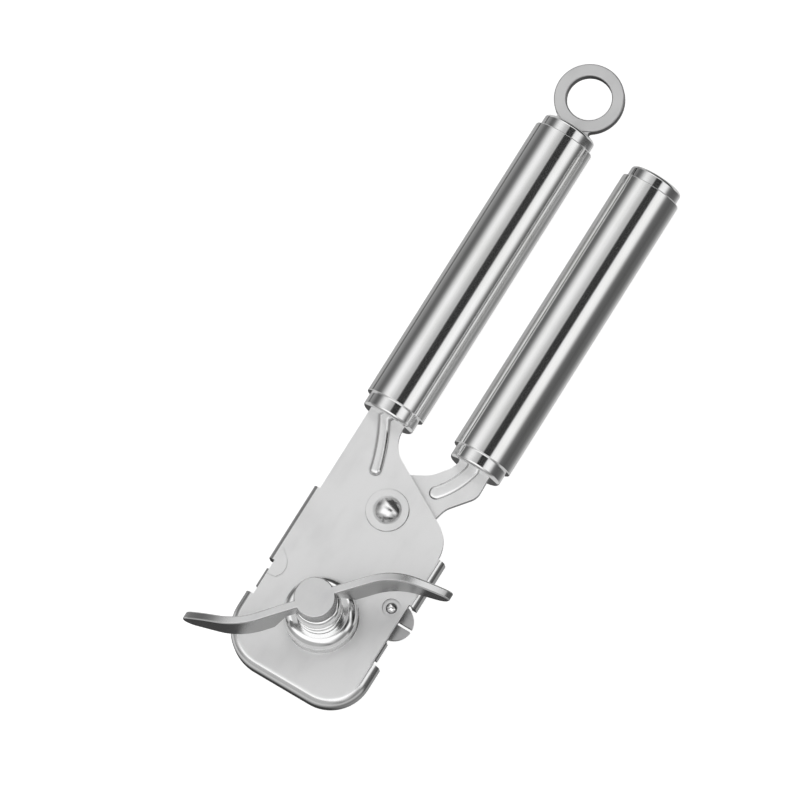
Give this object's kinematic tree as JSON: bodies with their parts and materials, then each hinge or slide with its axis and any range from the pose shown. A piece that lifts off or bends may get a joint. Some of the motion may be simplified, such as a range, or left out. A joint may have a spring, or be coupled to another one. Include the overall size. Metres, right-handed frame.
{
  "type": "manual can opener",
  "caption": "Hand-held can opener: pressed steel head with a turning key and toothed feed wheel, a swinging lever with cutting wheel and lid jaws, and tubular steel handles.",
  "frame": {"origin": "centre of the hole in the hanging ring, at half the ring's thickness", "axes": "+Y from the head towards the hanging ring along the ring handle, +X from the ring handle towards the plain handle, +Z out of the face that carries the turning key"},
  "size_m": [0.063, 0.2041, 0.0361],
  "materials": {
    "plate_steel": "satin pressed stainless steel",
    "tube_steel": "finely brushed along its length",
    "cap_steel": "satin turned stainless steel",
    "polished_steel": "polished",
    "key_steel": "satin faces, darker sides",
    "tool_steel": "hardened and ground",
    "shaft_steel": "turned",
    "core_plastic": "moulded"
  },
  "bodies": {
    "frame": {"front_plate": "plate_steel", "ring_handle_tube": "tube_steel", "ring_handle_cap": "cap_steel", "ring_handle_ferrule": "cap_steel", "ring_handle_core": "core_plastic", "hanging_ring": "cap_steel", "spindle_bush": "polished_steel", "pivot_rivet": "polished_steel", "pivot_washer": "shaft_steel", "fixed_jaw": "tool_steel", "fixed_jaw_rivet": "polished_steel"},
    "lever": {"lever_plate": "plate_steel", "lever_handle_tube": "tube_steel", "lever_handle_cap": "cap_steel", "lever_handle_ferrule": "cap_steel", "lever_handle_core": "core_plastic", "moving_jaw": "tool_steel", "moving_jaw_rivets": "shaft_steel", "cutter_spacer": "shaft_steel", "cutter_screw": "shaft_steel"},
    "key": {"turning_key": "key_steel", "key_collar": "polished_steel", "thrust_washer": "core_plastic", "spindle": "shaft_steel", "feed_wheel": "tool_steel", "feed_wheel_screw": "shaft_steel"},
    "cutter": {"cutting_wheel": "tool_steel"}
  },
  "joints": [
    {"name": "lever_swing", "type": "hinge", "parent": "frame", "child": "lever", "pos_m": [0.0144, -0.1342, -0.0018], "axis": [0, 0, 1], "range_deg": [-15, 1.5]},
    {"name": "key_turn", "type": "hinge", "parent": "frame", "child": "key", "pos_m": [0.0149, -0.1707, 0], "axis": [0, 0, 1], "continuous": true},
    {"name": "cutter_spin", "type": "hinge", "parent": "lever", "child": "cutter", "pos_m": [0.0072, -0.15192, -0.0063], "axis": [0, 0, 1], "continuous": true}
  ]
}
